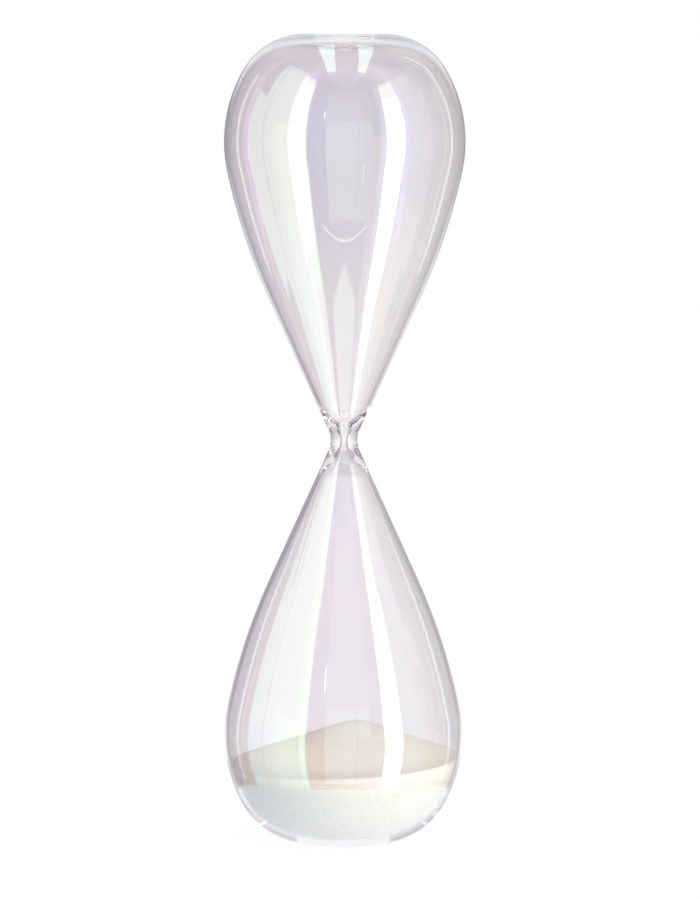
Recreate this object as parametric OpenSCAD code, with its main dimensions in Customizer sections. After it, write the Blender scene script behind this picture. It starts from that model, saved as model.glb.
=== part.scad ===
// Frameless blown-glass hourglass: two drop-shaped bulbs fused to a thick throat,
// closed for good by a fused fill seal, with the sand charge resting in the lower bulb.
// The foot of the lower bulb stands on z = 0 and the axis of the glass is the Z axis.
// Outlines are [radius, height] pairs. Heights inside an outline count from the waist.

/* [Overall] */
// Height from one foot to the other
total_h = 300; // [290:1:310]
// Largest outside diameter of each bulb
bulb_d = 89; // [86:0.5:92]

/* [Throat] */
// Outside diameter of the glass at the waist
waist_d = 9.9; // [9:0.1:11]
// Height of the slightly hollow band round the waist
band_h = 4.6; // [3:0.1:6]
// Radius of the band's hollow curve, seen from the side
band_r = 13.5; // [10:0.5:30]
// Radius of the tight curve between the band and each flank
crease_r = 2; // [1:0.1:4]
// Smallest diameter of the bore that meters the sand
bore_d = 1.8; // [1:0.1:2.6]
// Radius of the curve that opens the bore up and down
bore_curve_r = 9.5; // [8:0.1:10]
// Distance from the waist to each weld between throat and bulb
weld_h = 14; // [13:0.1:16]
// Length over which the bore's cone blends into the bulb's inner wall
blend_len = 4; // [2:0.1:4.2]

/* [Bulbs] */
// Angle between the axis and the straight flank of a bulb, in degrees
flank_deg = 24.4; // [23.5:0.1:25]
// Angle from the axis at which the flank's long curve meets the belly
belly_in_deg = 12.15; // [11:0.05:13]
// Angle from the axis at which the belly meets the shoulder
belly_out_deg = 30.65; // [28:0.05:33]
// Radius of the belly curve
belly_r = 52.4; // [50:0.1:55]
// Radius of the shoulder curve
shoulder_r = 25.9; // [24:0.1:28]
// Wall thickness of flank and belly
wall_t = 1.4; // [1.2:0.1:1.8]
// Wall thickness of the foot
foot_t = 2.2; // [1.8:0.1:3]

/* [Feet] */
// Width of the flat ring that the glass stands on
ring_w = 3.3; // [2:0.1:4]
// Depth of the shallow dish inside the ring
dish_depth = 1.2; // [0.6:0.1:2]
// Diameter of the fill hole and of the seal fused into it
seal_d = 9; // [7:0.5:12]
// How far the seal's rounded tip stands into the bulb
seal_tip_h = 1.4; // [0.8:0.1:2]

/* [Sand] */
// Height of the heap's rounded peak above the table
peak_z = 44.6; // [38:0.1:50]
// Sideways distance from the axis to the peak
peak_offset = 4.8; // [0:0.1:6]
// Slope of the heap, its angle of repose in this glass
slope_deg = 20; // [15:0.5:24]
// Radius of the rounded peak
peak_r = 20; // [5:1:30]
// Gap between the sand and the glass
sand_gap = 0.15; // [0.1:0.05:0.3]

/* [Hidden] */
$fn = 96;
ARC_STEPS = 14;     // straight pieces in each curve of an outline
THICKEN_DEG = 10;   // tilt past the belly where the wall starts to thicken
half_h = total_h / 2;

// ---- outline helpers ----

// Points along a curve that starts at p and turns from tilt a to tilt b. Tilt is the angle
// between the curve and the axis. A negative radius bends the curve away from the axis.
function curve(p, radius, a, b, steps = ARC_STEPS) = [
    for (i = [1:steps])
        let (t = a + (b - a) * i / steps)
            p + radius * [cos(t) - cos(a), sin(a) - sin(t)]
];
function last(points) = points[len(points) - 1];
function reversed(points) = [for (i = [len(points) - 1:-1:0]) points[i]];
function flipped(points) = [for (p = points) [p.x, -p.y]];
// The point that lies t inside the surface point p, where the surface has the given tilt
function inside(p, t, tilt) = p - t * [cos(tilt), -sin(tilt)];

// ---- outer outline of one bulb, from the waist to the foot ----

band_deg = asin(band_h / 2 / band_r);
band = concat([[waist_d / 2, 0]], curve([waist_d / 2, 0], -band_r, 0, band_deg));
crease = curve(last(band), -crease_r, band_deg, flank_deg, 6);
crease_end = last(crease);
shoulder_h = half_h - shoulder_r * (1 - sin(belly_out_deg));
belly_end_r = bulb_d / 2 - belly_r * (1 - cos(belly_out_deg));
widest_h = shoulder_h - belly_r * sin(belly_out_deg);
belly_start = [bulb_d / 2 - belly_r * (1 - cos(belly_in_deg)),
               widest_h - belly_r * sin(belly_in_deg)];
foot_r = belly_end_r - shoulder_r * cos(belly_out_deg);
dish_r = foot_r - ring_w;

// The long curve above the straight flank closes the gap between flank and belly
gap = belly_start - crease_end;
flank_r = (gap.x - tan(flank_deg) * gap.y) * cos(flank_deg) / (cos(flank_deg - belly_in_deg) - 1);
flank_end = belly_start - flank_r * [cos(belly_in_deg) - cos(flank_deg),
                                     sin(flank_deg) - sin(belly_in_deg)];

// Each entry is one curve of the bulb as [start point, radius, tilt at start, tilt at end]
bulb_curves = [
    [flank_end, flank_r, flank_deg, belly_in_deg],
    [belly_start, belly_r, belly_in_deg, -belly_out_deg],
    [[belly_end_r, shoulder_h], shoulder_r, -belly_out_deg, -90],
];
function wall_at(tilt) =
    tilt > -THICKEN_DEG ? wall_t
    : wall_t + (foot_t - wall_t) * (-tilt - THICKEN_DEG) / (90 - THICKEN_DEG);

weld_r = crease_end.x + (weld_h - crease_end.y) * tan(flank_deg);
weld_bore_r = weld_r - wall_t / cos(flank_deg);

bulb_outer = concat([[weld_r, weld_h], flank_end],
                    [for (c = bulb_curves) each curve(c[0], c[1], c[2], c[3])]);

// The same curves moved in by the wall, plus an extra allowance
function bulb_inner(extra = 0) = concat(
    [inside(flank_end, wall_t + extra, flank_deg)],
    [for (c = bulb_curves) for (i = [1:ARC_STEPS])
        let (tilt = c[2] + (c[3] - c[2]) * i / ARC_STEPS)
            inside(curve(c[0], c[1], c[2], c[3])[i - 1], wall_at(tilt) + extra, tilt)]
);

// The shallow dish inside the ring, from radius a to radius b, moved inwards by depth
dish_curve_r = (dish_r * dish_r + dish_depth * dish_depth) / (2 * dish_depth);
dish_rim_deg = asin(dish_r / dish_curve_r);
function dish(a, b, depth, steps = 8) = [
    for (i = [0:steps])
        let (t = asin((a + (b - a) * i / steps) / dish_curve_r))
            [dish_curve_r * sin(t),
             half_h - depth - dish_curve_r * (cos(t) - cos(dish_rim_deg))]
];

// ---- throat: waist outside, bore and blend inside ----

throat_outer = concat(band, crease, [[weld_r, weld_h]]);
// The bore's curve runs into a straight cone, whose line meets the bulb's inner wall at a
// corner just below the weld. The corner is rounded over blend_len.
bore_centre = [bore_d / 2 + bore_curve_r, 0];
corner = [weld_bore_r, weld_h] - blend_len * [sin(flank_deg), cos(flank_deg)];
reach = corner - bore_centre;
cone_len = sqrt(reach * reach - bore_curve_r * bore_curve_r);
cone_deg = atan2(cone_len, -bore_curve_r) - atan2(reach.y, reach.x);
blend_r = blend_len / tan((cone_deg - flank_deg) / 2);
blend_start = corner - blend_len * [sin(cone_deg), cos(cone_deg)];
throat_bore = concat([[bore_d / 2, 0]],
                     curve([bore_d / 2, 0], -bore_curve_r, 0, cone_deg),
                     [blend_start],
                     curve(blend_start, blend_r, cone_deg, flank_deg));

// ---- sub-parts ----

module turned(outline) {
    translate([0, 0, half_h]) rotate_extrude() polygon(outline);
}

// One bulb, with a hole of hole_r in its foot. side is 1 for up and -1 for down.
module bulb(side, hole_r) {
    outline = concat(bulb_outer, dish(dish_r, hole_r, 0), dish(hole_r, dish_r, foot_t),
                     reversed(bulb_inner()), [[weld_bore_r, weld_h]]);
    turned(side > 0 ? outline : flipped(outline));
}

module lower_bulb() {
    color([0.88, 0.83, 0.92, 0.35]) bulb(-1, 0);
}

module upper_bulb() {
    color([0.90, 0.85, 0.93, 0.35]) bulb(1, seal_d / 2);
}

module neck_throat() {
    outline = concat(throat_outer, reversed(throat_bore));
    color([0.86, 0.92, 0.95, 0.5])
        turned(concat(outline, flipped(reversed(outline))));
}

// A plug of glass across the wall of the foot, with a low rounded tip inside the bulb
module fill_seal() {
    seal_r = seal_d / 2;
    inner_face = dish(0, seal_r, foot_t);
    rim_h = last(inner_face).y;
    tip_h = rim_h - inner_face[0].y + seal_tip_h;
    tip = [for (i = [0:ARC_STEPS]) let (t = 90 * i / ARC_STEPS)
        [seal_r * cos(t), rim_h - tip_h * sin(t)]];
    color([0.78, 0.78, 0.86, 0.5])
        turned(concat(dish(0, seal_r, 0), tip));
}

// The heap is the cavity of the lower bulb, less the gap, under a cone with a rounded peak
module sand_charge() {
    cavity = concat(bulb_inner(sand_gap), dish(dish_r, 0, foot_t + sand_gap));
    peak_end = peak_r * [sin(slope_deg), cos(slope_deg)] - [0, peak_r];
    skirt_r = 2 * bulb_d;
    skirt_drop = (skirt_r - peak_end.x) * tan(slope_deg);
    color([0.90, 0.88, 0.80])
        intersection() {
            turned(flipped(concat([[0, cavity[0].y]], cavity)));
            translate([peak_offset, 0, peak_z])
                rotate_extrude()
                    polygon(concat(
                        [for (i = [0:8]) let (t = slope_deg * i / 8)
                            peak_r * [sin(t), cos(t)] - [0, peak_r]],
                        [[skirt_r, peak_end.y - skirt_drop], [0, peak_end.y - skirt_drop]]));
        }
}

lower_bulb();
upper_bulb();
neck_throat();
fill_seal();
sand_charge();
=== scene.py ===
"""Frameless iridescent hourglass on a plain white studio floor.

Smooth glass pieces are turned from the same outline as the CAD solids, the pearly coating is a
thin film whose thickness changes with height, and the sand is a grainy heap inside the lower bulb.
All lengths are in metres, in the frame of the CAD model: z = 0 is the table, Z is the glass's axis.
"""
import math
import random

import bpy
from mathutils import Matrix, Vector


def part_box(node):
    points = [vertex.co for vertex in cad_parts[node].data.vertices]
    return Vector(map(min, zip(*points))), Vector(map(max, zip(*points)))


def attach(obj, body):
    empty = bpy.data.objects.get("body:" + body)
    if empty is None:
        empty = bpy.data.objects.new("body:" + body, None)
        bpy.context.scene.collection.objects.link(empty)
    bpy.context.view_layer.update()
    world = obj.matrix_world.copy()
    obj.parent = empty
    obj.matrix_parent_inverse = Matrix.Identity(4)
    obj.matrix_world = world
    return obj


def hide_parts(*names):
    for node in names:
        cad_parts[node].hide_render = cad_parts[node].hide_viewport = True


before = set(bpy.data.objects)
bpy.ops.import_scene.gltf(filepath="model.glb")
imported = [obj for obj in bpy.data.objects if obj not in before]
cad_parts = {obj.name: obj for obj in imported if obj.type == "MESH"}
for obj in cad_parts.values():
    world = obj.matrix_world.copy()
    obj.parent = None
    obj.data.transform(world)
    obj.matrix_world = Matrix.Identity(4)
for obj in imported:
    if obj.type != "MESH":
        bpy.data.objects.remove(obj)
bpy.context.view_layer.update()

MM = 0.001
TOTAL_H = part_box("upper_bulb")[1][2]
WAIST_Z = TOTAL_H / 2
BULB_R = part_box("lower_bulb")[1][0]
WELD_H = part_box("upper_bulb")[0][2] - WAIST_Z
PEAK_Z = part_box("sand_charge")[1][2]

# Driving dimensions of the glass outline
WAIST_R = 4.95 * MM
BAND_HALF_H = 2.3 * MM
BAND_R = 13.5 * MM
CREASE_R = 2.0 * MM
BORE_R = 0.9 * MM
BORE_CURVE_R = 9.5 * MM
BLEND_LEN = 4.0 * MM
FLANK = math.radians(24.4)
BELLY_IN = math.radians(12.15)
BELLY_OUT = math.radians(30.65)
BELLY_R = 52.4 * MM
SHOULDER_R = 25.9 * MM
WALL = 1.4 * MM
FOOT_WALL = 2.2 * MM
THICKEN_FROM = math.radians(10)  # tilt past the belly where the wall starts to thicken
RING_W = 3.3 * MM
DISH_DEPTH = 1.2 * MM
SEAL_R = 4.5 * MM
SEAL_TIP_H = 1.4 * MM

# Sand
SAND_GAP = 0.15 * MM
PEAK_X = 4.8 * MM
HEAP_SLOPE = math.radians(20)
PEAK_ROUND = 20 * MM
RIPPLE = 0.06 * MM              # unevenness of the heap's surface
GRAINS = 46                     # grains that cling to the glass
GRAIN_STRETCH = 22              # how many steps of the inner outline they spread over
GRAIN_SIZE = (0.06, 0.16)       # smallest and largest, in mm

# Mesh density
SEGMENTS = 160                  # steps round the axis
STEP = 1.5 * MM                 # longest step along an outline
SAND_SIDE_STEPS = 60            # rings up the sand's side
SAND_TOP_STEPS = 70             # rings from the heap's edge to the axis
SAND_SIDE_LIMIT = 90 * MM       # more than the sand's side measures along the glass
HALVINGS = 40                   # of that length, to find the heap's edge


# ---------------------------------------------------------------- outlines: (radius, height) pairs

def curve(start, radius, a, b, steps=18):
    """Points after start on a curve that turns from tilt a to tilt b, measured from the axis."""
    points = []
    for i in range(1, steps + 1):
        t = a + (b - a) * i / steps
        points.append((start[0] + radius * (math.cos(t) - math.cos(a)),
                       start[1] + radius * (math.sin(a) - math.sin(t))))
    return points


def waist_outline():
    """The outside of the throat from the waist to the start of the straight flank."""
    band_tilt = math.asin(BAND_HALF_H / BAND_R)
    band = [(WAIST_R, 0.0)] + curve((WAIST_R, 0.0), -BAND_R, 0, band_tilt, 10)
    return band + curve(band[-1], -CREASE_R, band_tilt, FLANK, 10)


def bulb_curves(flank_start):
    """(start, radius, tilt at start, tilt at end) of flank, belly and shoulder."""
    shoulder_h = WAIST_Z - SHOULDER_R * (1 - math.sin(BELLY_OUT))
    belly_end_r = BULB_R - BELLY_R * (1 - math.cos(BELLY_OUT))
    widest_h = shoulder_h - BELLY_R * math.sin(BELLY_OUT)
    belly_start = (BULB_R - BELLY_R * (1 - math.cos(BELLY_IN)),
                   widest_h - BELLY_R * math.sin(BELLY_IN))
    gap_r = belly_start[0] - flank_start[0]
    gap_h = belly_start[1] - flank_start[1]
    flank_r = ((gap_r - math.tan(FLANK) * gap_h) * math.cos(FLANK)
               / (math.cos(FLANK - BELLY_IN) - 1))
    flank_end = (belly_start[0] - flank_r * (math.cos(BELLY_IN) - math.cos(FLANK)),
                 belly_start[1] - flank_r * (math.sin(FLANK) - math.sin(BELLY_IN)))
    return [
        (flank_end, flank_r, FLANK, BELLY_IN),
        (belly_start, BELLY_R, BELLY_IN, -BELLY_OUT),
        ((belly_end_r, shoulder_h), SHOULDER_R, -BELLY_OUT, -math.pi / 2),
    ]


FLANK_START = waist_outline()[-1]
CURVES = bulb_curves(FLANK_START)
WELD_R = FLANK_START[0] + (WELD_H - FLANK_START[1]) * math.tan(FLANK)
WELD_BORE_R = WELD_R - WALL / math.cos(FLANK)
FOOT_R = CURVES[2][0][0] - SHOULDER_R * math.cos(BELLY_OUT)
DISH_R = FOOT_R - RING_W


def wall_at(tilt):
    """Wall thickness where the surface has the given tilt: it grows from the belly to the foot."""
    past = max(0.0, -tilt - THICKEN_FROM) / (math.pi / 2 - THICKEN_FROM)
    return WALL + (FOOT_WALL - WALL) * past


def outer_outline():
    """The outer face of a bulb from the weld to the foot's ring."""
    points = [(WELD_R, WELD_H), CURVES[0][0]]
    for start, radius, a, b in CURVES:
        points += curve(start, radius, a, b)
    return points


def inner_outline(extra=0.0):
    """The inner face of a bulb, moved in by extra, from the straight flank to the foot."""
    points = []
    for start, radius, a, b in CURVES:
        on_curve = [start] + curve(start, radius, a, b)
        for i, (r, h) in enumerate(on_curve):
            if i == 0 and points:
                continue
            tilt = a + (b - a) * i / (len(on_curve) - 1)
            t = wall_at(tilt) + extra
            points.append((r - t * math.cos(tilt), h + t * math.sin(tilt)))
    return points


def dish(a, b, depth, steps=10):
    """The shallow dish in the foot from radius a to radius b, moved inwards by depth."""
    dish_curve = (DISH_R ** 2 + DISH_DEPTH ** 2) / (2 * DISH_DEPTH)
    rim = math.asin(DISH_R / dish_curve)
    points = []
    for i in range(steps + 1):
        t = math.asin((a + (b - a) * i / steps) / dish_curve)
        points.append((dish_curve * math.sin(t),
                       WAIST_Z - depth - dish_curve * (math.cos(t) - math.cos(rim))))
    return points


def bore_outline():
    """The bore's wall from the waist up to the weld."""
    centre_r = BORE_R + BORE_CURVE_R
    corner = (WELD_BORE_R - BLEND_LEN * math.sin(FLANK), WELD_H - BLEND_LEN * math.cos(FLANK))
    reach = (corner[0] - centre_r, corner[1])
    cone_len = math.sqrt(reach[0] ** 2 + reach[1] ** 2 - BORE_CURVE_R ** 2)
    cone = math.atan2(cone_len, -BORE_CURVE_R) - math.atan2(reach[1], reach[0])
    blend_r = BLEND_LEN / math.tan((cone - FLANK) / 2)
    blend_start = (corner[0] - BLEND_LEN * math.sin(cone), corner[1] - BLEND_LEN * math.cos(cone))
    return ([(BORE_R, 0.0)] + curve((BORE_R, 0.0), -BORE_CURVE_R, 0, cone, 30)
            + [blend_start] + curve(blend_start, blend_r, cone, FLANK, 20))


def divided(points):
    """The outline with no step longer than STEP."""
    out = [points[0]]
    for (r0, h0), (r1, h1) in zip(points, points[1:]):
        n = max(1, math.ceil(math.hypot(r1 - r0, h1 - h0) / STEP))
        out += [(r0 + (r1 - r0) * i / n, h0 + (h1 - h0) * i / n) for i in range(1, n + 1)]
    return out


# ---------------------------------------------------------------- meshes

def add_piece(name, verts, faces, slots, materials, nodes):
    """A smooth-shaded mesh object that rides on the root body and stands for CAD nodes."""
    mesh = bpy.data.meshes.new(name)
    mesh.from_pydata(verts, [], faces)
    for material in materials:
        mesh.materials.append(material)
    mesh.polygons.foreach_set("material_index", slots)
    mesh.polygons.foreach_set("use_smooth", [True] * len(faces))
    mesh.update()
    piece = bpy.data.objects.new(name, mesh)
    bpy.context.scene.collection.objects.link(piece)
    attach(piece, "root")
    if nodes:
        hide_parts(*nodes)
    return piece


def turned(name, side, strips, materials, nodes):
    """Turns outline strips round the axis into one piece. strips holds (points, material index).
    The points run from the waist outwards on an outer face and back on an inner face. Strips
    share no ring, so that the edge between two of them stays crisp. side is 1 above the waist
    and -1 below it."""
    verts, faces, slots = [], [], []

    def ring(r, h):
        z = WAIST_Z + side * h
        if r < 1e-9:
            verts.append((0.0, 0.0, z))
            return [len(verts) - 1]
        for j in range(SEGMENTS):
            t = 2 * math.pi * j / SEGMENTS
            verts.append((r * math.cos(t), r * math.sin(t), z))
        return list(range(len(verts) - SEGMENTS, len(verts)))

    for points, slot in strips:
        points = divided(points)
        start = ring(*points[0])
        for point in points[1:]:
            end = ring(*point)
            for j in range(SEGMENTS):
                k = (j + 1) % SEGMENTS
                corners = [start[j % len(start)], start[k % len(start)],
                           end[k % len(end)], end[j % len(end)]]
                face = [v for i, v in enumerate(corners) if v not in corners[:i]]
                faces.append(face if side > 0 else face[::-1])
                slots.append(slot)
            start = end
    return add_piece(name, verts, faces, slots, materials, nodes)


# ---------------------------------------------------------------- node helpers

class Graph:
    """Short calls for building a node tree."""

    def __init__(self, tree):
        self.tree = tree
        tree.nodes.clear()

    def node(self, kind, inputs=(), **settings):
        """A new node with its settings made and its named inputs fed."""
        made = self.tree.nodes.new(kind)
        for key, value in settings.items():
            setattr(made, key, value)
        for key, value in dict(inputs).items():
            self.feed(made.inputs[key], value)
        return made

    def feed(self, socket, value):
        """Links a socket to the input, or sets the input to a value."""
        if isinstance(value, bpy.types.NodeSocket):
            self.tree.links.new(value, socket)
        else:
            socket.default_value = value

    def math(self, operation, *values):
        made = self.node("ShaderNodeMath", operation=operation)
        for socket, value in zip(made.inputs, values):
            self.feed(socket, value)
        return made.outputs[0]

    def window(self, value, low, high, soft):
        """1 where low < value < high, falling to 0 over soft on both sides."""
        rise = self.step(value, low, soft)
        fall = self.step(value, high, soft)
        return self.math("SUBTRACT", rise, fall)

    def step(self, value, edge, soft):
        """0 below the edge and 1 above it, with a smooth rise over soft."""
        made = self.node("ShaderNodeMapRange", interpolation_type="SMOOTHSTEP",
                         inputs={"Value": value, "From Min": edge - soft / 2,
                                 "From Max": edge + soft / 2})
        return made.outputs["Result"]

    def mix(self, factor, a, b):
        """Colour a where factor is 0 and colour b where it is 1."""
        made = self.node("ShaderNodeMix", data_type="RGBA")
        colours = [socket for socket in made.inputs if socket.type == "RGBA"]
        self.feed(made.inputs["Factor"], factor)
        self.feed(colours[0], a)
        self.feed(colours[1], b)
        return next(socket for socket in made.outputs if socket.type == "RGBA")

    def ramp(self, value, stops, interpolation="LINEAR"):
        """A colour that follows value through stops of (place, colour)."""
        made = self.node("ShaderNodeValToRGB", inputs={"Fac": value})
        ramp = made.color_ramp
        ramp.interpolation = interpolation
        while len(ramp.elements) < len(stops):
            ramp.elements.new(0.5)
        for element, (place, colour) in zip(ramp.elements, stops):
            element.position = place
            element.color = (*colour, 1.0)
        return made.outputs["Color"]


# ---------------------------------------------------------------- materials

# Height in mm and thickness in nm of the pearly film. It runs thinner towards both feet.
FILM = [(0, 168), (10, 170), (26, 179), (38, 187), (47, 199), (76, 205), (105, 202), (139, 200),
        (161, 198), (190, 199), (217, 201), (240, 210), (262, 217), (280, 208), (300, 196)]
FILM_TOP = 300.0                # height in mm where that curve ends
FILM_LOW, FILM_HIGH = 150, 250  # range of thickness that the curve is stored in
FILM_DRIFT = 24.0               # how far the thickness wanders round the glass, in nm
FILM_STARTS = (7.5, 11.0)       # distance from the waist in mm where the film fades in
FILM_RAGGED = 5.0               # how uneven that edge is, in mm
FILM_IOR = 2.0
GLASS_IOR = 1.47
# Painted shade on the glass: its tint darkens towards the outline, most at the throat
THROAT_PAINTED_SHADE = (0.15, 0.15, 0.20)
THROAT_FADE = (7.0, 4.0)        # distance from the waist in mm where its painted dark edge ends, softness
PAINTED_SHADE_POWER = 1.1                # how closely the painted shade keeps to the glass's outline
GRAIN_TONES = [
    (0.0, (0.60, 0.54, 0.45)), (0.08, (0.74, 0.69, 0.58)), (0.5, (0.80, 0.76, 0.65)),
    (1.0, (0.87, 0.84, 0.74)),
]
PATCH_TONE = (0.81, 0.77, 0.67)
PAINTED_LIGHT_HEIGHTS = (27, 36, 8)         # heights in mm between which painted light makes the sand paler, and softness
# colour and share of the painted light on the sand near the heap's edge
PAINTED_LIGHT_TONE = (0.98, 0.90, 0.80)
PAINTED_LIGHT_SHARE = 0.85


def new_material(name):
    """An empty node material and the graph to build it with."""
    material = bpy.data.materials.new(name)
    material.use_nodes = True
    return material, Graph(material.node_tree)


def height_mm(graph):
    """The place on the object, and its height above the table in mm."""
    place = graph.node("ShaderNodeTexCoord").outputs["Object"]
    parts = graph.node("ShaderNodeSeparateXYZ", {"Vector": place})
    return place, graph.math("MULTIPLY", parts.outputs["Z"], 1 / MM)


def film_thickness(graph):
    """Thickness of the coating in nm: a curve over height, slow drifts round the glass, and none
    on the throat, where the film was burnt off as the glass was worked."""
    place, height = height_mm(graph)
    stops = [(h / FILM_TOP, ((t - FILM_LOW) / (FILM_HIGH - FILM_LOW),) * 3) for h, t in FILM]
    along = graph.ramp(graph.math("DIVIDE", height, FILM_TOP), stops, "B_SPLINE")
    nominal = graph.math("MULTIPLY_ADD", along, FILM_HIGH - FILM_LOW, FILM_LOW)
    noise = graph.node("ShaderNodeTexNoise", {"Vector": place, "Scale": 14.0, "Detail": 2.0,
                                              "Roughness": 0.5}).outputs["Fac"]
    drift = graph.math("MULTIPLY", graph.math("SUBTRACT", noise, 0.5), FILM_DRIFT)
    ragged = graph.node("ShaderNodeTexNoise", {"Vector": place, "Scale": 260.0}).outputs["Fac"]
    from_waist = graph.math("ABSOLUTE", graph.math("SUBTRACT", height, WAIST_Z / MM))
    from_waist = graph.math("MULTIPLY_ADD", ragged, FILM_RAGGED,
                            graph.math("SUBTRACT", from_waist, FILM_RAGGED / 2))
    low, high = FILM_STARTS
    cover = graph.step(from_waist, (low + high) / 2, high - low)
    return graph.math("MULTIPLY", graph.math("ADD", nominal, drift), cover)


def tint_and_painted_rim_shade(graph, pale, deep, edge):
    """A faint uneven tint, as in hand-blown glass, and painted shade that deepens it towards the
    glass's outline. This is partly for the light's longer way through the glass there and partly
    stands in for the dark rim that mirrored and bent light gives the glass. It's deepest in the
    thick throat."""
    place, height = height_mm(graph)
    cloud = graph.node("ShaderNodeTexNoise", {"Vector": place, "Scale": 22.0, "Detail": 3.0})
    tint = graph.mix(cloud.outputs["Fac"], (*pale, 1), (*deep, 1))
    # painted shade: the tint darkens where the surface turns away, towards the outline
    slant = graph.node("ShaderNodeLayerWeight", {"Blend": 0.5}).outputs["Facing"]
    from_waist = graph.math("ABSOLUTE", graph.math("SUBTRACT", height, WAIST_Z / MM))
    edge = graph.mix(graph.step(from_waist, *THROAT_FADE), (*THROAT_PAINTED_SHADE, 1), (*edge, 1))
    return graph.mix(graph.math("POWER", slant, PAINTED_SHADE_POWER), tint, edge)


def make_glass(name, pale, deep, edge, coated):
    """Clear glass with an uneven tint and painted shade at its outline, under the thin film if it
    is coated.
    """
    material, graph = new_material(name)
    inputs = {
        "Base Color": tint_and_painted_rim_shade(graph, pale, deep, edge),
        "Roughness": 0.0,
        "IOR": GLASS_IOR,
        "Transmission Weight": 1.0,
    }
    if coated:
        inputs["Thin Film Thickness"] = film_thickness(graph)
        inputs["Thin Film IOR"] = FILM_IOR
    shader = graph.node("ShaderNodeBsdfPrincipled", inputs)
    graph.node("ShaderNodeOutputMaterial", {"Surface": shader.outputs["BSDF"]})
    return material


def make_pearl_glass():
    """Glass under a pearly film: the outer face of the bulbs and of the throat."""
    # the last colour is the painted shade at the glass's outline
    return make_glass("pearl_glass", (1.0, 0.99, 1.0), (0.985, 0.97, 0.99),
                      (0.74, 0.71, 0.74), True)


def make_clear_glass():
    """Bare glass: the inner faces and the seal."""
    # the last colour is the painted shade at the glass's outline
    return make_glass("clear_glass", (0.998, 0.998, 1.0), (0.985, 0.992, 0.998),
                      (0.85, 0.86, 0.88), False)


def make_weld_glass():
    """The inside of a fused joint: no boundary to see, so it bends and reflects nothing."""
    material, graph = new_material("weld_glass")
    shader = graph.node("ShaderNodeBsdfTransparent", {"Color": (1, 1, 1, 1)})
    graph.node("ShaderNodeOutputMaterial", {"Surface": shader.outputs["BSDF"]})
    return material


def make_sand():
    """Fine off-white sand: quartz grains with a few darker ones, and painted light that makes it
    paler near the heap's edge.
    """
    material, graph = new_material("fine_sand")
    place, height = height_mm(graph)
    grains = graph.node("ShaderNodeTexVoronoi", {"Vector": place, "Scale": 2600.0})
    grain_tone = graph.node("ShaderNodeSeparateColor", {"Color": grains.outputs["Color"]})
    tone = graph.ramp(grain_tone.outputs["Red"], GRAIN_TONES)
    patches = graph.node("ShaderNodeTexNoise", {"Vector": place, "Scale": 90.0, "Detail": 4.0})
    colour = graph.mix(patches.outputs["Fac"], tone, (*PATCH_TONE, 1))
    # painted light: the sand is made paler between the heights of the heap's edge
    edge = graph.math("MULTIPLY", graph.window(height, *PAINTED_LIGHT_HEIGHTS), PAINTED_LIGHT_SHARE)
    colour = graph.mix(edge, colour, (*PAINTED_LIGHT_TONE, 1))
    bump = graph.node("ShaderNodeBump", {"Height": grains.outputs["Distance"],
                                         "Strength": 0.6, "Distance": 0.15 * MM})
    shader = graph.node("ShaderNodeBsdfPrincipled", {
        "Base Color": colour, "Roughness": 0.85, "Normal": bump.outputs["Normal"]})
    graph.node("ShaderNodeOutputMaterial", {"Surface": shader.outputs["BSDF"]})
    return material


# ---------------------------------------------------------------- the hourglass's pieces

def joined(*outlines):
    """One outline from several whose ends meet."""
    points = list(outlines[0])
    for outline in outlines[1:]:
        meets = math.dist(points[-1], outline[0]) < 1e-7
        points += outline[1:] if meets else outline
    return points


def make_bulb(name, side, node, hole_r, pearl, clear, weld):
    """A closed bulb: coated outside, bare inside, with unseen faces where it is fused. The
    numbers in its strips choose one of the three materials."""
    outside = joined(outer_outline(), dish(DISH_R, hole_r, 0))
    inside = joined(dish(hole_r, DISH_R, FOOT_WALL), inner_outline()[::-1],
                    [(WELD_BORE_R, WELD_H)])
    strips = [(outside, 0)]
    if hole_r > 0:
        strips.append(([outside[-1], inside[0]], 2))
    strips += [(inside, 1), ([inside[-1], outside[0]], 2)]
    return turned(name, side, strips, [pearl, clear, weld], [node])


def make_throat(pearl, clear, weld):
    """The throat: both halves of its outside and of its bore, and its two weld faces. The film
    of the bulbs runs out on its outside."""
    outside = joined(waist_outline(), [(WELD_R, WELD_H)])
    bore = bore_outline()
    outer = joined([(r, -h) for r, h in outside[::-1]], outside)
    inner = joined(bore[::-1], [(r, -h) for r, h in bore])
    strips = [(outer, 0), ([outer[-1], inner[0]], 2), (inner, 1), ([inner[-1], outer[0]], 2)]
    return turned("throat_glass", 1, strips, [pearl, clear, weld], ["neck_throat"])


def make_seal(clear, weld):
    """The drop of glass fused into the fill hole, with a rounded tip inside the bulb."""
    face = dish(0, SEAL_R, 0)
    inner = dish(SEAL_R, 0, FOOT_WALL)
    rim_h = inner[0][1]
    tip_h = rim_h - inner[-1][1] + SEAL_TIP_H
    steps = 12
    tip = [(SEAL_R * math.cos(t), rim_h - tip_h * math.sin(t))
           for t in (math.pi / 2 * i / steps for i in range(steps))] + [(0.0, rim_h - tip_h)]
    strips = [(tip[::-1], 0), ([tip[0], face[-1]], 1), (face[::-1], 0)]
    piece = turned("fill_seal_glass", 1, strips, [clear, weld], ["fill_seal"])
    piece.data.flip_normals()
    return piece


def heap_height(x, y):
    """Height of the sand's surface at (x, y): a cone about the off-centre peak, rounded there."""
    rho = math.hypot(x - PEAK_X, y)
    round_end = PEAK_ROUND * math.sin(HEAP_SLOPE)
    if rho < round_end:
        return PEAK_Z - PEAK_ROUND + math.sqrt(PEAK_ROUND ** 2 - rho ** 2)
    round_drop = PEAK_ROUND * (1 - math.cos(HEAP_SLOPE))
    return PEAK_Z - round_drop - (rho - round_end) * math.tan(HEAP_SLOPE)


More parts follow.
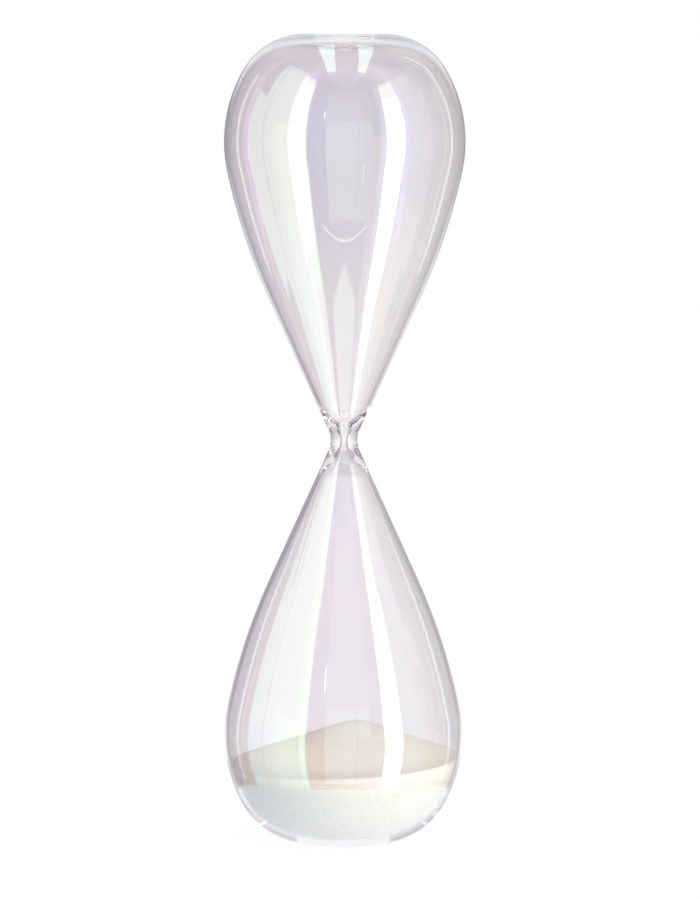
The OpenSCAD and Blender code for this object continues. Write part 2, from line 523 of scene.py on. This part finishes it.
def make_sand_heap(material):
    """The sand: its sides follow the glass up to the heap's edge, and the heap closes the top."""
    rng = random.Random(7)
    wall = joined(dish(0, DISH_R, FOOT_WALL + SAND_GAP), inner_outline(SAND_GAP)[::-1])
    wall = divided([(r, WAIST_Z - h) for r, h in wall])
    verts, faces = [(0.0, 0.0, wall[0][1])], []

    def wall_point(length):
        """The point at this length along the wall, from the middle of the foot upwards."""
        for (r0, z0), (r1, z1) in zip(wall, wall[1:]):
            step = math.hypot(r1 - r0, z1 - z0)
            if length <= step:
                f = length / step
                return r0 + (r1 - r0) * f, z0 + (z1 - z0) * f
            length -= step
        return wall[-1]

    edge_lengths = []
    for j in range(SEGMENTS):
        t = 2 * math.pi * j / SEGMENTS
        low, high = 0.0, SAND_SIDE_LIMIT
        for _ in range(HALVINGS):
            mid = (low + high) / 2
            r, z = wall_point(mid)
            if z < heap_height(r * math.cos(t), r * math.sin(t)):
                low = mid
            else:
                high = mid
        edge_lengths.append(low)
    for i in range(1, SAND_SIDE_STEPS + 1):
        for j, edge in enumerate(edge_lengths):
            t = 2 * math.pi * j / SEGMENTS
            r, z = wall_point(edge * i / SAND_SIDE_STEPS)
            verts.append((r * math.cos(t), r * math.sin(t), z))
    rim = verts[-SEGMENTS:]
    for i in range(1, SAND_TOP_STEPS):
        f = 1 - i / SAND_TOP_STEPS
        for x, y, _ in rim:
            ripple = RIPPLE * (rng.random() - 0.5)
            verts.append((x * f, y * f, heap_height(x * f, y * f) + ripple))
    verts.append((0.0, 0.0, heap_height(0, 0)))
    rings = SAND_SIDE_STEPS + SAND_TOP_STEPS - 1
    for j in range(SEGMENTS):
        k = (j + 1) % SEGMENTS
        faces.append([0, 1 + k, 1 + j])
        for i in range(rings - 1):
            a, b = 1 + i * SEGMENTS, 1 + (i + 1) * SEGMENTS
            faces.append([a + j, a + k, b + k, b + j])
        last = 1 + (rings - 1) * SEGMENTS
        faces.append([last + j, last + k, len(verts) - 1])
    return add_piece("sand_heap", verts, faces, [0] * len(faces), [material],
                     ["sand_charge"])


def make_clinging_grains(material):
    """A few grains that cling to the inside of the glass above the heap."""
    rng = random.Random(11)
    wall = inner_outline()
    verts, faces = [], []
    for _ in range(GRAINS):
        turn = rng.uniform(0, 2 * math.pi)
        side = rng.choice((1, -1))
        (r0, h0), (r1, h1) = rng.choice(list(zip(wall, wall[1:]))[:GRAIN_STRETCH])
        size = rng.uniform(*GRAIN_SIZE) * MM
        share = rng.random()
        r = r0 + (r1 - r0) * share - size
        z = WAIST_Z + side * (h0 + (h1 - h0) * share)
        middle = (r * math.cos(turn), r * math.sin(turn), z)
        corners = [(1, 0, 0), (-1, 0, 0), (0, 1, 0), (0, -1, 0), (0, 0, 1), (0, 0, -1)]
        first = len(verts)
        for corner in corners:
            stretch = size * rng.uniform(0.7, 1.0)
            verts.append(tuple(m + stretch * c for m, c in zip(middle, corner)))
        for x in (0, 1):
            for y in (2, 3):
                for up in (4, 5):
                    face = [first + x, first + y, first + up]
                    faces.append(face if (x + y + up) % 2 == 0 else face[::-1])
    return add_piece("clinging_grains", verts, faces, [0] * len(faces), [material], [])


# ---------------------------------------------------------------- studio

# Windows of light and shade round the glass, as mirrored in it: azimuth from the front (right is
# positive) and elevation in degrees, colour as radiance, and how soft their upright edges are.
PANELS = [
    # azimuth     elevation   colour              soft
    ((-93, -48), (-88, 52), (1.0, 0.98, 0.96), 3.0),      # cream side wall on the left
    ((-106, -92), (-34, 26), (1.0, 0.98, 0.96), 3.0),     # its far end
    ((-86, -84), (-88, 52), (0.60, 0.58, 0.60), 1.0),     # its seam
    ((-72, -46), (-88, 12), (1.25, 1.22, 1.06), 12.0),    # its brighter near end
    ((-48, -37), (-75, 27), (1.5, 1.55, 1.5), 2.5),       # left strip light
    ((-48, -43.5), (-40, 27), (1.05, 1.12, 0.92), 2.0),   # its creamy edge
    ((-50, -37), (26, 44), (1.15, 1.15, 1.08), 2.5),      # its dimmer top
    ((-48, -37), (-47, -30), (0.75, 1.3, 0.95), 2.5),     # its greener foot
    ((-48, -37), (-75, -46), (0.80, 0.80, 0.82), 2.5),    # its shine on the table
    ((-18, 26.5), (-35, 41), (0.42, 0.45, 0.58), 1.5),    # pale front panel
    ((-18, 26.5), (17, 41), (0.28, 0.24, 0.32), 1.5),     # its darker top
    ((12.8, 14.4), (-35, 30), (0.30, 0.25, 0.32), 1.0),   # its seam
    ((26.5, 42), (-75, 5), (0.45, 0.38, 0.55), 3.0),      # glow beside the right strip
    ((41, 59.5), (-75, 34), (8.0, 8.0, 8.0), 1.5),        # right strip light
    ((41, 59.5), (33, 44), (1.5, 1.4, 1.3), 1.5),         # its dimmer top
    ((41, 59.5), (-75, -49), (1.15, 1.25, 1.25), 1.5),    # its shine on the table
    ((60, 104), (-88, 45), (0.64, 0.62, 0.68), 4.0),      # grey side wall on the right
    ((84, 104), (-88, 45), (0.66, 0.54, 0.55), 8.0),      # its warmer far half
    ((60, 104), (-88, -26), (0.84, 0.70, 0.62), 4.0),     # its foot, in warmer light
    ((98, 122), (-34, 26), (0.66, 0.54, 0.55), 4.0),      # its far end
    ((95, 97), (-88, 45), (0.35, 0.32, 0.38), 1.0),       # its seam
    ((67, 72), (-62, -34), (1.05, 0.78, 0.60), 3.0),      # a warm gleam on it
    ((62, 66), (-80, -46), (0.60, 0.92, 1.0), 3.0),       # and a cool one
    ((-20.8, -19.6), (20, 25), (2.2, 2.2, 2.2), 0.6),     # small lamp
    ((-190, -140), (-95, -24), (0.8, 0.8, 0.8), 8.0),     # pale tabletop behind, left
    ((140, 190), (-95, -24), (0.8, 0.8, 0.8), 8.0),       # and right
    ((-126, -122.5), (-24, 28), (1.5, 1.3, 1.3), 1.0),    # edge light, rear left
    ((122.5, 126), (-24, 50), (1.8, 1.5, 1.4), 1.0),      # edge light, rear right
]
SURROUND = [                     # the room between the panels, by azimuth
    (-180, (0.30, 0.30, 0.34)), (-150, (0.45, 0.42, 0.48)), (-128, (0.32, 0.27, 0.36)),
    (-104, (0.28, 0.21, 0.27)), (-34, (0.04, 0.05, 0.11)), (-17, (0.05, 0.06, 0.14)),
    (35, (0.20, 0.17, 0.24)), (100, (0.40, 0.34, 0.36)), (128, (0.58, 0.50, 0.48)),
    (150, (0.60, 0.56, 0.56)), (180, (0.30, 0.30, 0.34)),
]
PANEL_SOFT = 2.0                 # softness of a panel's level edges, in degrees
CEILING = (0.34, 0.25, 0.31)
CEILING_FROM = (56, 16)          # elevation where the ceiling starts, and softness
BACKDROP = (1.0, 1.0, 1.0)
BACKDROP_FROM = (158, 10)        # azimuth to either side where the backdrop starts, softness
BACKDROP_GAP = (7, 8)            # half height of the level gap in it, softness
THROUGH_GLASS = [                # the backdrop as seen through the glass, by elevation
    (-6, (1.0, 1.0, 1.0)), (-4, (0.97, 0.97, 0.97)), (-2.4, (0.86, 0.85, 0.86)),
    (0, (0.83, 0.82, 0.84)), (20, (0.83, 0.82, 0.84)),
]
THROUGH_SPAN = 60                # degrees of elevation that this list's ramp spans
TABLE_END = (-36, 41, -44, 0.35)               # sides, highest point, fall towards the sides
TABLE_GLOW = (0.84, 0.73, 0.73)
TABLE_RIM = (27, -39.2, 0.0055, 0.24)          # half width, lowest point, curve, half height
RIM_GLOW = (1.1, 1.1, 1.1)
OVERHEAD = [(-0.19, 0.065), (0.23, -0.115)]    # two ceiling lights: sideways place and slant
OVERHEAD_REACH = (-0.58, 0.5, 0.04)            # their ends towards front and back, softness
OVERHEAD_WIDTH = (-0.075, 0.075, 0.01)         # their sides, softness
OVERHEAD_FROM = (0.3, 0.1)                     # how far up they start to show, softness
OVERHEAD_GLOW = (1.75, 1.6, 1.6)
SOFT_LIGHT = (1.72, 0.60, -1.05, -0.05)        # even part, then its lean along x, y and z
SOFT_LIGHT_BLUE = 0.97


DEGREES = 180 / math.pi          # in one radian


def room_light(graph, x, y, z):
    """What the glass mirrors: walls, panels and strip lights, the ceiling and the backdrop."""
    front = graph.math("MULTIPLY", y, -1.0)
    azimuth = graph.math("MULTIPLY", graph.math("ARCTAN2", x, front), DEGREES)
    elevation = graph.math("MULTIPLY", graph.math("ARCSINE", z), DEGREES)
    turn = graph.math("ADD", graph.math("DIVIDE", azimuth, 360.0), 0.5)
    room = graph.ramp(turn, [((a + 180) / 360, c) for a, c in SURROUND])
    for (left, right), (low, high), colour, soft in PANELS:
        wide = graph.window(azimuth, left, right, soft)
        tall = graph.window(elevation, low, high, PANEL_SOFT)
        room = graph.mix(graph.math("MULTIPLY", wide, tall), room, (*colour, 1))
    left, right, highest, fall = TABLE_END
    slant = graph.math("MULTIPLY_ADD", graph.math("ABSOLUTE", azimuth), fall, elevation)
    table = graph.math("SUBTRACT", graph.window(azimuth, left, right, 2.0),
                       graph.step(slant, highest, 3.0))
    room = graph.mix(graph.math("MAXIMUM", table, 0.0), room, (*TABLE_GLOW, 1))
    half_width, lowest, bend, half_height = TABLE_RIM
    curve_up = graph.math("MULTIPLY", graph.math("MULTIPLY", azimuth, azimuth), bend)
    above_rim = graph.math("SUBTRACT", graph.math("SUBTRACT", elevation, lowest), curve_up)
    rim = graph.math("MULTIPLY", graph.window(above_rim, -half_height, half_height, 0.3),
                     graph.window(azimuth, -half_width, half_width, 1.0))
    room = graph.mix(rim, room, (*RIM_GLOW, 1))
    behind = graph.step(graph.math("ABSOLUTE", azimuth), *BACKDROP_FROM)
    steep = graph.step(graph.math("ABSOLUTE", elevation), *BACKDROP_GAP)
    room = graph.mix(graph.math("MULTIPLY", behind, steep), room, (*BACKDROP, 1))
    room = graph.mix(graph.step(elevation, *CEILING_FROM), room, (*CEILING, 1))
    across = graph.math("DIVIDE", x, z)
    along = graph.math("DIVIDE", y, z)
    overhead = graph.math("MULTIPLY", graph.window(along, *OVERHEAD_REACH),
                          graph.step(z, *OVERHEAD_FROM))
    for middle, slant in OVERHEAD:
        line = graph.math("MULTIPLY_ADD", along, slant, middle)
        lamp = graph.window(graph.math("SUBTRACT", across, line), *OVERHEAD_WIDTH)
        room = graph.mix(graph.math("MULTIPLY", lamp, overhead), room, (*OVERHEAD_GLOW, 1))
    return room


def soft_light(graph, x, y, z):
    """What lights the sand and the floor: an even glow that leans to the front and the right."""
    even, *lean = SOFT_LIGHT
    light = even
    for axis, amount in zip((x, y, z), lean):
        light = graph.math("MULTIPLY_ADD", axis, amount, light)
    blue = graph.math("MULTIPLY", light, SOFT_LIGHT_BLUE)
    return graph.node("ShaderNodeCombineColor",
                      {"Red": light, "Green": light, "Blue": blue}).outputs["Color"]


def make_world():
    """A white tent. Its panels, strips and dark gaps show only in reflections."""
    world = bpy.data.worlds.new("studio")
    bpy.context.scene.world = world
    world.use_nodes = True
    world.cycles.sampling_method = "NONE"
    graph = Graph(world.node_tree)
    direction = graph.node("ShaderNodeTexCoord").outputs["Generated"]
    parts = graph.node("ShaderNodeSeparateXYZ", {"Vector": direction}).outputs
    axes = parts["X"], parts["Y"], parts["Z"]
    path = graph.node("ShaderNodeLightPath").outputs
    mirrored = graph.math("MINIMUM", path["Glossy Depth"], 1.0)
    scattered = graph.math("MINIMUM", path["Diffuse Depth"], 1.0)
    seen_through = graph.math("MINIMUM", path["Transmission Depth"], 1.0)
    slope = graph.math("ARCSINE", axes[2])
    place = graph.math("MULTIPLY_ADD", slope, DEGREES / THROUGH_SPAN, 0.5)
    behind_glass = graph.ramp(place, [(0.5 + a / THROUGH_SPAN, c) for a, c in THROUGH_GLASS])
    tent = graph.mix(seen_through, (*BACKDROP, 1), behind_glass)
    tent = graph.mix(mirrored, tent, room_light(graph, *axes))
    tent = graph.mix(scattered, tent, soft_light(graph, *axes))
    background = graph.node("ShaderNodeBackground", {"Color": tent, "Strength": 1.0})
    graph.node("ShaderNodeOutputWorld", {"Surface": background.outputs["Background"]})


NEAR_FLOOR_R = 75 * MM          # the part of the floor that the glass mirrors
FLOOR_R = 1.45
FLOOR_STEPS = 96
FLOOR_DARK, FLOOR_PALE = (0.030, 0.030, 0.030), (0.035, 0.035, 0.035)
FLOOR_GLOW = 0.96
FLOOR_BOUNCE = (1.1, 14)        # extra glow that reaches the sand, and its rise along x


def make_floor_piece(name, inner_r, outer_r, material):
    """A flat ring of floor, or a disc when inner_r is 0."""
    verts, faces = [], []
    for r in (inner_r, outer_r):
        for j in range(FLOOR_STEPS):
            t = 2 * math.pi * j / FLOOR_STEPS
            verts.append((r * math.cos(t), r * math.sin(t), 0.0))
    if inner_r == 0:
        faces.append(list(range(FLOOR_STEPS)))
        verts = verts[FLOOR_STEPS:]
    else:
        for j in range(FLOOR_STEPS):
            k = (j + 1) % FLOOR_STEPS
            faces.append([j, FLOOR_STEPS + j, FLOOR_STEPS + k, k])
    mesh = bpy.data.meshes.new(name)
    mesh.from_pydata(verts, [], faces)
    mesh.materials.append(material)
    floor = bpy.data.objects.new(name, mesh)
    bpy.context.scene.collection.objects.link(floor)
    return floor


def floor_material(name, mirrored):
    """Pale, softly glowing floor, so that only a breath of shadow shows at the foot. It lights
    the sand more than it shows. Where it isn't mirrored, the glass sees past it to the room."""
    material, graph = new_material(name)
    place = graph.node("ShaderNodeTexCoord").outputs["Object"]
    cloud = graph.node("ShaderNodeTexNoise", {"Vector": place, "Scale": 3.0})
    shade = graph.mix(cloud.outputs["Fac"], (*FLOOR_DARK, 1), (*FLOOR_PALE, 1))
    path = graph.node("ShaderNodeLightPath").outputs
    scattered = graph.math("MINIMUM", path["Diffuse Depth"], 1.0)
    across = graph.node("ShaderNodeSeparateXYZ", {"Vector": place}).outputs["X"]
    even, rise = FLOOR_BOUNCE
    bounce = graph.math("MULTIPLY_ADD", across, rise, even)
    bounce = graph.math("MINIMUM", graph.math("MAXIMUM", bounce, 0.0), 2 * even)
    glow = graph.math("MULTIPLY_ADD", scattered, bounce, FLOOR_GLOW)
    surface = graph.node("ShaderNodeBsdfPrincipled", {
        "Base Color": shade, "Roughness": 0.9, "Specular IOR Level": 0.0,
        "Emission Color": (1, 1, 1, 1), "Emission Strength": glow}).outputs["BSDF"]
    if not mirrored:
        unseen = graph.node("ShaderNodeBsdfTransparent").outputs["BSDF"]
        in_mirror = graph.math("MINIMUM", path["Glossy Depth"], 1.0)
        hidden = graph.node("ShaderNodeMixShader")
        for socket, value in zip(hidden.inputs, (in_mirror, surface, unseen)):
            graph.feed(socket, value)
        surface = hidden.outputs["Shader"]
    graph.node("ShaderNodeOutputMaterial", {"Surface": surface})
    return material


def make_floor():
    """The floor in two parts, so that mirrored rays see only the near one."""
    make_floor_piece("near_floor", 0, NEAR_FLOOR_R, floor_material("near_floor_white", True))
    make_floor_piece("far_floor", NEAR_FLOOR_R, FLOOR_R, floor_material("far_floor_white", False))


SENSOR_MM = 36
LENS_MM = 160.8
CAMERA_PLACE = (0.0, -1.485, 0.300)
CAMERA_TILT = (-5.906, -0.15, -0.07)           # pitch from level, roll and turn, in degrees


def make_camera():
    """A long lens level with the top of the glass, looking a little down at it."""
    data = bpy.data.cameras.new("camera")
    data.sensor_width = SENSOR_MM
    data.lens = LENS_MM
    camera = bpy.data.objects.new("camera", data)
    bpy.context.scene.collection.objects.link(camera)
    camera.location = CAMERA_PLACE
    pitch, roll, turn = CAMERA_TILT
    camera.rotation_euler = [math.radians(a) for a in (90 + pitch, roll, turn)]
    bpy.context.scene.camera = camera


def set_rendering():
    """Plain view transform, and enough bounces for light to find its way out of the glass."""
    scene = bpy.context.scene
    scene.view_settings.view_transform = "Standard"
    cycles = scene.cycles
    cycles.use_denoising = True
    cycles.max_bounces = 48
    cycles.transmission_bounces = 28
    cycles.glossy_bounces = 40
    cycles.transparent_max_bounces = 16


make_camera()
pearl_glass = make_pearl_glass()
clear_glass = make_clear_glass()
weld_glass = make_weld_glass()
make_bulb("lower_bulb_glass", -1, "lower_bulb", 0.0, pearl_glass, clear_glass, weld_glass)
make_bulb("upper_bulb_glass", 1, "upper_bulb", SEAL_R, pearl_glass, clear_glass, weld_glass)
make_throat(pearl_glass, clear_glass, weld_glass)
make_seal(clear_glass, weld_glass)
fine_sand = make_sand()
make_sand_heap(fine_sand)
make_clinging_grains(fine_sand)
make_world()
make_floor()
set_rendering()
